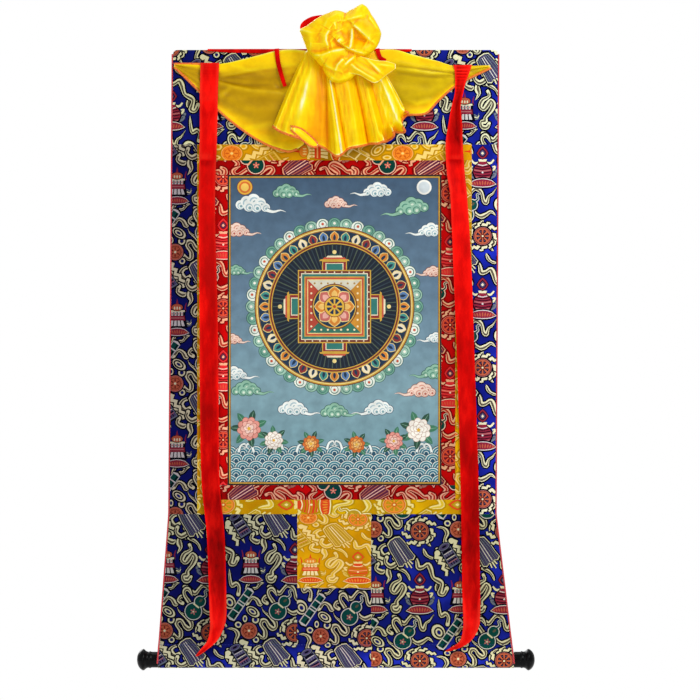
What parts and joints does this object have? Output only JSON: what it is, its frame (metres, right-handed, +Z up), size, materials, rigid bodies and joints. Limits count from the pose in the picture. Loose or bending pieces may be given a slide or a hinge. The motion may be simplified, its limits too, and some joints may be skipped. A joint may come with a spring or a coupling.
{
  "type": "thangka scroll painting",
  "caption": "Hanging scroll: painted canvas in red and gold brocade borders on a blue brocade ground, with a bottom roller, red ribbons and a yellow silk veil tied up at the top.",
  "frame": {"origin": "middle of the cloth's top edge, where the scroll hangs", "axes": "+Z up, +X to the right as it is looked at, -Y towards the viewer"},
  "size_m": [0.5766, 0.0855, 0.9647],
  "materials": {
    "blue_brocade": "satin brocade",
    "gold_brocade": "satin brocade",
    "red_brocade": "satin brocade",
    "painted_canvas": "matt painted cotton",
    "yellow_silk": "thin glossy silk",
    "red_satin": "satin ribbon",
    "dowel_wood": "bare",
    "black_lacquer": "gloss black lacquer"
  },
  "bodies": {
    "root": {"ground_top": "blue_brocade", "ground_left": "blue_brocade", "ground_right": "blue_brocade", "ground_bottom_left": "blue_brocade", "ground_bottom_centre": "blue_brocade", "ground_bottom_right": "blue_brocade", "gold_top": "gold_brocade", "gold_bottom": "gold_brocade", "gold_left": "gold_brocade", "gold_right": "gold_brocade", "door": "gold_brocade", "red_top": "red_brocade", "red_bottom": "red_brocade", "red_left": "red_brocade", "red_right": "red_brocade", "painting": "painted_canvas", "veil": "yellow_silk", "piping_left": "red_satin", "piping_right": "red_satin", "ribbon_left": "red_satin", "ribbon_right": "red_satin", "hanging_tape": "red_satin", "tie_top": "red_satin", "tie_left": "red_satin", "tie_right": "red_satin", "dowel": "dowel_wood", "knob_left": "black_lacquer", "knob_right": "black_lacquer"}
  },
  "joints": []
}
